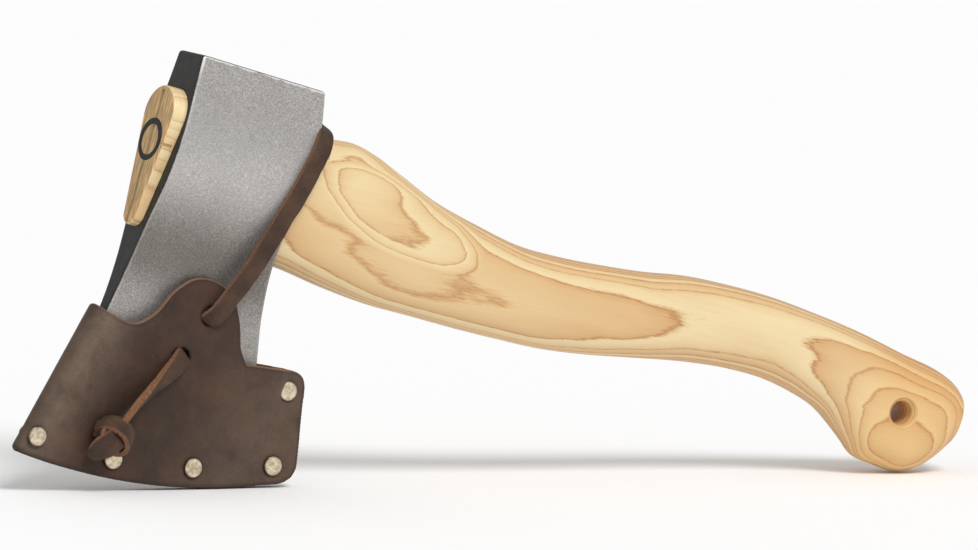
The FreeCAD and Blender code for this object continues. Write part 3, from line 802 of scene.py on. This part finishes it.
def makeSheath():
    front = toFlat(panelOutline())
    front[0, 0] = 0.0
    outline = np.concatenate([front, (front * [-1, 1])[::-1][:-1]])
    obj = flatPiece("sheath_leather_folded", outline, sheath["thickness"])
    for hole in (earHole, lowerHole):
        q, v = toFlat([hole])[0]
        for side in (-1, 1):
            carve(obj, started(bpy.ops.mesh.primitive_cylinder_add, "lace_hole_cutter", vertices=40,
                               radius=sheath["hole"], depth=12, location=(side * q, v, 0)))
    modify(obj, "REMESH", mode="VOXEL", voxel_size=sheath["voxel"], adaptivity=0.0)
    modify(obj, "SMOOTH", factor=0.5, iterations=4)
    flat = corners(obj.data)
    gaps = outlineGap(flat[:, :2], outline)
    foldSheet(obj, sheath["thickness"])
    places = corners(obj.data)
    setMeasure(obj, "fromCut", gaps)
    setMeasure(obj, "layer", flat[:, 2] / sheath["thickness"])
    setMeasure(obj, "fromFold", np.abs(flat[:, 0]))
    lumps = unevenness(places, 14.0, 1) * 0.25 + unevenness(places, 4.0, 2) * 0.05
    outward = np.sign(-places[:, 1])
    places[:, 1] -= outward * lumps * smoothStep(np.abs(places[:, 1]) / 2)
    setCorners(obj.data, places)
    return finish(obj, "sheath", [oiledLeather()], ["sheath_leather"], 60)


welt = {"top": (80.0, -73.5), "towards": (38.0, -100.0), "inset": 0.008, "toeX": -21.5,
        "bitX": (-17.5, 75.0), "inner": [(76.0, -104.0), (77.8, -74.9)], "slack": 0.1, "bitGap": 0.5}


def makeWelt():
    # the spacer strip lies flat between the panels, round the bit
    cx, cz = head["edgeCentre"]
    outline = panelOutline()
    start = np.argmin(np.hypot(*(outline - np.array(welt["top"])).T))
    outer = outline[start:] + (np.array(welt["towards"]) - outline[start:]) * welt["inset"]
    outer = outer[outer[:, 0] > welt["toeX"]]
    bitX = np.linspace(*welt["bitX"], 60)
    radius = sheath["bitRadius"] + welt["bitGap"]
    inner = np.array([bitX, cz - np.sqrt(radius ** 2 - (bitX - cx) ** 2)]).T
    thickness = sheath["gap"] - welt["slack"]
    strip = flatPiece("sheath_welt_strip", np.concatenate([outer, inner, welt["inner"]]), thickness)
    modify(strip, "BEVEL", width=0.35, segments=2, limit_method="ANGLE", angle_limit=math.radians(50))
    modify(strip, "TRIANGULATE")
    places = corners(strip.data)
    y = thickness / 2 - places[:, 2]
    setCorners(strip.data, np.column_stack([places[:, 0], y, places[:, 1]]))
    closeMesh(strip)
    finish(strip, "sheath", [rawLeather("vegetable_tanned_welt")], ["sheath_welt"], 40)


def oiledLeather():
    # oil-tanned cowhide 2.7 mm thick: dark brown and waxy, lighter along the fold and far from it,
    # where it was bent or rubbed and where a highlight is painted on the fold's round, with a fine pebble
    # grain whose creases carry painted shade, a few pale scratches and a light brown, fibrous cut edge
    material, add, place = newMaterial("oiled_cowhide")
    cloud = add("TexNoise", place, Scale=0.035, Detail=4.0)
    blotch = add("TexNoise", add("Mapping", place, Scale=(1, 1, 1), Location=(40.0, 40.0, 40.0)),
                 Scale=0.09, Detail=4.0, Roughness=0.65)
    pebble = add("TexVoronoi", place, feature="DISTANCE_TO_EDGE", Scale=1.15)
    fine = add("TexNoise", place, Scale=2.2)
    colour = add("ValToRGB", cloud, stops=[(0.3, "#2d2019"), (0.45, "#38281e"), (0.6, "#463124"),
                                           (0.75, "#543b2b")])
    colour = add("MixRGB", add("MapRange", blotch, 0.52, 0.75, 0.0, 0.5), colour, "#573427")
    # lighter bands by distance from the fold: bend and rub wear, and a painted highlight on the fold's round
    fold = add("Math", add("Attribute", attribute_name="fromFold", output="Fac"), 110.0, operation="DIVIDE")
    wear = add("ValToRGB", fold, stops=[(0.0, 0.2), (0.06, 0.5), (0.15, 0.16), (0.23, 0.0), (0.5, 0.04),
                                        (0.8, 0.26), (1.0, 0.22)])
    wear = add("Math", wear, add("MapRange", blotch, 0.2, 0.6, 0.4, 1.2), operation="MULTIPLY")
    colour = add("MixRGB", wear, colour, "#83705f")
    specks = add("TexVoronoi", place, feature="F1", Scale=0.33)
    colour = add("MixRGB", add("MapRange", specks, 0.05, 0.12, 0.4, 0.0), colour, "#75604f")
    # painted shade: the pebble grain's creases are darkened
    colour = add("MixRGB", add("MapRange", pebble, 0.0, 0.16, 0.22, 0.0), colour, "#271c15")
    fromCut = add("Attribute", attribute_name="fromCut", output="Fac")
    ragged = roughened(add, fromCut, fine, 0.7)
    colour = add("MixRGB", add("MapRange", ragged, 0.9, 2.2, 0.4, 0.0), colour, "#241a14")
    edgeTone = add("ValToRGB", fine, stops=[(0.3, "#5d4230"), (0.7, "#8f6e53")])
    rimSide = add("MapRange", add("SeparateXYZ", place, output=2), -82.0, -100.0)
    # the cut edge turns darker towards the riveted bottom rim
    edgeTone = add("MixRGB", rimSide, edgeTone, "#38281f")
    cut = add("MapRange", ragged, 0.35, 0.6, 1.0, 0.0)
    colour = add("MixRGB", cut, colour, edgeTone)
    layer = add("Attribute", attribute_name="layer", output="Fac")
    flesh = add("MapRange", layer, 0.12, 0.02)
    colour = add("MixRGB", flesh, colour, "#4f382a")
    rough = add("MapRange", add("Math", cut, flesh, operation="MAXIMUM"), 0.0, 1.0, 0.6, 0.9)
    return finishMaterial(material, [(pebble, 0.12, 0.35), (fine, 0.12, 0.35), (cloud, 0.6, 0.3)],
                          Base_Color=colour, Roughness=rough, Specular_IOR_Level=0.3, Sheen_Weight=0.04)


def rawLeather(name):
    # undyed vegetable-tanned leather, seen only at its cut edge: light brown and fibrous
    material, add, place = newMaterial(name)
    fibres = add("TexNoise", add("Mapping", place, Scale=(0.5, 2.5, 0.5)), Detail=4.0, Roughness=0.65)
    colour = add("ValToRGB", fibres, stops=[(0.3, "#5b4031"), (0.55, "#87634a"), (0.8, "#a98463")])
    return finishMaterial(material, [(fibres, 0.2, 0.6)], Base_Color=colour, Roughness=0.85)


def capMesh(name):
    # a domed cap with a rolled rim, its seat at y = 0 and its dome towards -y
    radius, rise = rivets["radius"], rivets["rise"]
    obj = started(bpy.ops.mesh.primitive_cylinder_add, name, vertices=48, radius=radius, depth=0.9,
                  location=(0, 0, 0.25))
    activate(obj)
    bpy.ops.object.mode_set(mode="EDIT")
    bpy.ops.mesh.select_all(action="DESELECT")
    bpy.ops.object.mode_set(mode="OBJECT")
    for face in obj.data.polygons:
        face.select = face.normal.z > 0.9
    bpy.ops.object.mode_set(mode="EDIT")
    bpy.ops.mesh.bevel(offset=0.32, segments=4, affect="EDGES")
    bpy.ops.object.mode_set(mode="OBJECT")
    for face in obj.data.polygons:
        face.select = face.normal.z > 0.999 and face.area > 5
    bpy.ops.object.mode_set(mode="EDIT")
    for inset, lift in ((0.35, 0.13), (0.7, 0.2), (0.9, 0.15), (0.9, 0.06)):
        bpy.ops.mesh.inset(thickness=inset, depth=0)
        bpy.ops.transform.translate(value=(0, 0, lift))
    bpy.ops.object.mode_set(mode="OBJECT")
    modify(obj, "SUBSURF", levels=1, render_levels=1)
    places = corners(obj.data)
    # the insets have raised the dome 1.24 mm over its seat
    setCorners(obj.data, places[:, [0, 2, 1]] * np.array([1, -rise / 1.24, 1]))
    closeMesh(obj)
    return obj


def makeRivets():
    cap = capMesh("rivet_cap_model")
    for number, (x, z) in enumerate(rivets["places"], 1):
        seat = float(halfGap(np.array([x]), np.array([z]))[0]) + sheath["thickness"] / 2 - 0.2
        for side, kind in ((1, "cap"), (-1, "post")):
            piece = copied(cap, f"rivet_{kind}_{number}_brass")
            places = corners(piece.data)
            setMeasure(piece, "fromCentre", np.hypot(places[:, 0], places[:, 2]) / rivets["radius"])
            if kind == "post":
                places[:, [0, 2]] *= rivets["backSize"]
            dents = unevenness(places + number * 7.7 + side, 2.2, number) * 0.12
            places[:, 1] += dents * (places[:, 1] < -0.2)
            lean = 0.03 * math.sin(number * 2.1 + side)
            places = np.column_stack([places[:, 0] + x, side * (places[:, 1] - seat + lean * places[:, 0]),
                                      places[:, 2] + z])
            setCorners(piece.data, places)
            closeMesh(piece)
            if kind == "post":
                post = bar("rivet_shank", rivets["post"], -seat, seat, (x, z), "y", around=24)
                activate(piece)
                post.select_set(True)
                bpy.ops.object.join()
            finish(piece, "sheath", [nickelBrass], [f"rivet_{kind}_{number}"], 50)
    bpy.data.objects.remove(cap)


def makeNickelBrass():
    # stamped brass caps with worn nickel plating: warm silver, dull, with small dents, and a dark rim that
    # paints the shade and dark reflection at the rolled edge
    material, add, place = newMaterial("nickel_plated_brass")
    wear = add("TexNoise", place, Scale=0.55, Detail=4.0)
    fine = add("TexNoise", place, Scale=2.4)
    colour = add("ValToRGB", wear, stops=[(0.3, "#aa987a"), (0.5, "#d6c7ab"), (0.7, "#f3e9d3")])
    # painted shade and dark reflection: the colour darkens towards the cap's rolled rim
    rim = add("Attribute", attribute_name="fromCentre", output="Fac")
    rim = roughened(add, rim, fine, 0.2)
    colour = add("MixRGB", add("MapRange", rim, 0.8, 1.0, 0.0, 0.8), colour, "#5d5142")
    return finishMaterial(material, [(wear, 0.25, 0.5), (fine, 0.08, 0.5)], Base_Color=colour, Metallic=1.0,
                          Roughness=add("MapRange", fine, 0.3, 0.7, 0.24, 0.42))


lace = {
    "width": 7.5, "thickness": 2.3,
    # (x, y, z) along the middle of the front half, from inside the ear hole to the top of the loop
    "loop": [(39.2, -6.6, -63.0), (39.6, -9.4, -62.4), (41.0, -11.6, -59.6), (44.4, -12.4, -52.6),
             (50.6, -13.6, -37.8), (56.4, -15.2, -19.0), (61.6, -15.9, -2.0), (64.4, -15.5, 8.0),
             (66.6, -13.9, 15.6), (67.8, -10.6, 19.8), (68.5, -5.6, 21.8), (68.8, 0.0, 22.2)],
    "loopSide": (-0.936, 0.0, 0.352),
    "run": [(32.2, -8.6, -79.4), (32.3, -6.9, -79.0), (33.4, -5.0, -76.6), (36.1, -5.5, -69.8),
            (38.6, -5.8, -63.9), (39.6, -6.8, -61.6), (39.8, -9.8, -61.2)],
    "tail": [(33.6, -6.4, -77.6), (32.6, -9.0, -78.6), (30.2, -10.6, -82.4), (26.0, -10.9, -88.8),
             (21.4, -10.4, -96.0), (17.4, -10.0, -102.6), (14.0, -9.8, -109.4), (12.4, -9.6, -115.0)],
    "tailRoot": 8.7,
    "tailSpin": [(0.0, 2.0), (0.15, 10.0), (0.32, 30.0), (0.5, 52.0), (0.7, 66.0), (1.0, 74.0)],
}


def strap(name, path, sides, width, thickness, steps, rounding=0.55):
    # a flat strap along path; sides gives the direction of its width at even shares of its length,
    # width and thickness are numbers or lists of (share of length, size)
    line = smoothPath(path, steps + 1)
    at = np.linspace(0, 1, steps + 1)
    share = np.linspace(0, 1, len(sides))
    wide = np.array([np.interp(at, share, column) for column in np.array(sides, float).T]).T
    tangent = np.gradient(line, axis=0)
    tangent /= np.linalg.norm(tangent, axis=1)[:, None]
    wide -= tangent * np.sum(wide * tangent, axis=1)[:, None]
    wide /= np.linalg.norm(wide, axis=1)[:, None]
    thin = np.cross(tangent, wide)
    halfWide, halfThin = ((smoothCurve(size, at) if isinstance(size, list) else np.full(steps + 1, size)) / 2
                          for size in (width, thickness))
    ring = []
    for sx, sy, start in ((1, 1, 0), (-1, 1, 90), (-1, -1, 180), (1, -1, 270)):
        ring += [(sx, sy, math.radians(start + q)) for q in np.linspace(0, 90, 5)]
        for t in (0.2, 0.4, 0.6, 0.8) if start in (0, 180) else (0.5,):
            bx, by = (sx - 2 * t * sx, sy) if start in (0, 180) else (sx, sy - 2 * t * sy)
            ring.append((bx, by, math.radians(start + 90)))
    table = np.array(ring + ring[:1])

    def place(turned, length):
        bx, by, angle = table[np.rint(turned * (len(table) - 1)).astype(int)].T
        k = np.rint(length * steps).astype(int)
        a = bx * (halfWide[k] - rounding) + rounding * np.cos(angle)
        b = by * (halfThin[k] - rounding) + rounding * np.sin(angle)
        return line[k] + wide[k] * a[:, None] + thin[k] * b[:, None]

    obj = tube(name, len(table) - 1, steps, place)
    places = corners(obj.data)
    nearest = np.array([np.argmin(np.sum((line - p) ** 2, axis=1)) for p in places])
    offset = places - line[nearest]
    fromMiddle = np.abs(np.sum(offset * wide[nearest], axis=1))
    setMeasure(obj, "fromCut", np.clip(halfWide[nearest] - fromMiddle, 0, None))
    setMeasure(obj, "grainSide", np.sum(offset * thin[nearest], axis=1) / halfThin[nearest])
    wobble = unevenness(places, 3.0, 4)[:, None] * 0.18 + unevenness(places, 9.0, 5)[:, None] * 0.25
    setCorners(obj.data, places + wobble * offset / np.linalg.norm(offset, axis=1)[:, None])
    return obj


def mirrored(obj, name):
    # the same piece on the back
    twin = copied(obj, name)
    setCorners(twin.data, corners(twin.data) * np.array([1, -1, 1]))
    activate(twin)
    bpy.ops.object.mode_set(mode="EDIT")
    bpy.ops.mesh.select_all(action="SELECT")
    bpy.ops.mesh.normals_make_consistent(inside=False)
    bpy.ops.object.mode_set(mode="OBJECT")
    return twin


def finishPair(front, bodies, leather):
    # the front piece and its twin on the back
    pair = front, mirrored(front, front.name.replace("front", "back"))
    for piece, body in zip(pair, bodies):
        finish(piece, body, [leather], [piece.name.rsplit("_", 1)[0]], 60)
    return pair


def tailSides():
    # the tail leaves its hole flat on the leather and stands on its edge at the knot
    sides = []
    for share in np.linspace(0, 1, 12):
        angle = math.radians(float(smoothCurve(lace["tailSpin"], np.array([share]))[0]))
        sides.append(knot["across"] * math.cos(angle) + knot["out"] * math.sin(angle))
    return sides


def makeLace():
    leather = laceLeather()
    front = lace["loop"]
    whole = front + [(x, -y, z) for x, y, z in front[::-1][1:]]
    loop = strap("lace_loop_strap", whole, [lace["loopSide"]] * 2, lace["width"], lace["thickness"], 190)
    finish(loop, "loop", [leather], ["lace_loop"], 60)
    run = strap("lace_run_front_strap", lace["run"], [(-0.9, 0, 0.4)] * 2, 6.0, 1.8, 40, 0.4)
    finishPair(run, ("sheath", "sheath"), leather)
    tail = strap("lace_tail_front_strap", lace["tail"], tailSides(),
                 [(0, 8), (0.3, 7.8), (0.7, 6.6), (1, 6.4)], [(0, 2.4), (0.3, 2.8), (0.6, 3.3), (1, 3.2)], 70)
    tails = finishPair(tail, ("sheath", "sheath"), leather)
    finishPair(makeKnot(), ("knot_front", "knot_back"), leather)
    for piece, joint, side in zip(tails, ("front_knot_slip", "back_knot_slip"), (-1, 1)):
        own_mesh(piece)


# an overhand knot: one turn arches over the strap, one runs under it, and the end comes out as a lobe;
# along, across and out are directions, and a path is (along, across, out) from the centre in mm
knot = {
    "centre": np.array([12.6, -8.9, -114.6]), "along": np.array([-0.542, 0.0, -0.840]),
    "across": np.array([-0.840, 0.0, 0.542]), "out": np.array([0.0, -1.0, 0.0]),
    "lean": 38.0, "turnWide": 6.9, "turnHigh": 6.2, "turnShift": 1.0,
    "lobe": [(-2.0, 0, 2.6), (3.0, 0.6, 4.2), (7.6, 1.2, 3.4), (11.0, 1.2, 1.0), (12.6, 1.0, -1.8)],
    "lobeWidth": [(0, 7), (0.35, 9.4), (0.65, 8.8), (0.85, 6.2), (1, 3.6)],
    "under": [(0, 7.2, -0.6), (4.6, 6.0, 1.4), (6.4, 1.0, 1.0), (4.2, -4.5, 0.4)],
}


def makeKnot():
    directions = np.array([knot["along"], knot["across"], knot["out"]])
    lean = math.radians(knot["lean"])  # the turn's lower edge tips outwards
    wide = knot["along"] * math.cos(lean) + knot["out"] * math.sin(lean)
    lift = knot["out"] * math.cos(lean) - knot["along"] * math.sin(lean)
    turns = []
    for angle in np.radians(np.linspace(-50, 230, 17)):
        turns.append(knot["centre"] - knot["across"] * knot["turnWide"] * math.cos(angle)
                     + lift * knot["turnHigh"] * math.sin(angle) + knot["along"] * knot["turnShift"])
    band = strap("lace_knot_front_turns", turns, [tuple(wide)] * 2,
                 [(0, 5.0), (0.25, 7.4), (0.7, 7.6), (1, 5.0)], 2.4, 80)
    lobe = strap("knot_end", knot["centre"] + np.array(knot["lobe"]) @ directions,
                 [tuple(knot["across"])] * 2, knot["lobeWidth"], 2.8, 46)
    under = strap("knot_under", knot["centre"] + np.array(knot["under"]) @ directions,
                  [(0.1, -0.9, -0.3)] * 2, 5.6, 2.4, 40)
    activate(band)
    lobe.select_set(True)
    under.select_set(True)
    bpy.ops.object.join()
    return band


def laceLeather():
    # a strap cut from the same oiled hide: dark grain side, orange-brown cut edges with loose fibres
    material, add, place = newMaterial("oiled_lace_leather")
    cloud = add("TexNoise", place, Scale=0.11, Detail=4.0)
    fine = add("TexNoise", place, Scale=2.4, Detail=4.0, Roughness=0.65)
    colour = add("ValToRGB", cloud, stops=[(0.3, "#32241a"), (0.5, "#432f22"), (0.72, "#553d2c")])
    colour = add("MixRGB", add("MapRange", fine, 0.55, 0.75, 0.0, 0.3), colour, "#5f4b3e")
    fromCut = add("Attribute", attribute_name="fromCut", output="Fac")
    ragged = roughened(add, fromCut, fine, 0.5)
    raw = add("ValToRGB", fine, stops=[(0.3, "#4a3020"), (0.5, "#765036"), (0.75, "#a77c55")])
    skin = add("Attribute", attribute_name="grainSide", output="Fac")
    skin = roughened(add, add("Math", skin, operation="ABSOLUTE"), fine, 0.6)
    cut = add("Math", add("MapRange", ragged, 0.45, 0.9, 1.0, 0.0),
              add("MapRange", skin, 0.7, 0.95, 1.0, 0.0), operation="MULTIPLY")
    colour = add("MixRGB", cut, colour, raw)
    return finishMaterial(material, [(fine, 0.25, 0.55), (cloud, 0.5, 0.4)], Base_Color=colour,
                          Roughness=add("MapRange", cut, 0.0, 1.0, 0.6, 0.9), Specular_IOR_Level=0.3,
                          Sheen_Weight=0.04)


makeHead()
print("head made")
makeHandle()
makeWedges()
print("handle and wedges made")
makeSheath()
makeWelt()
print("sheath made")
nickelBrass = makeNickelBrass()
makeRivets()
print("rivets made")
makeLace()
print("lace made")

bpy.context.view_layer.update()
deselect()
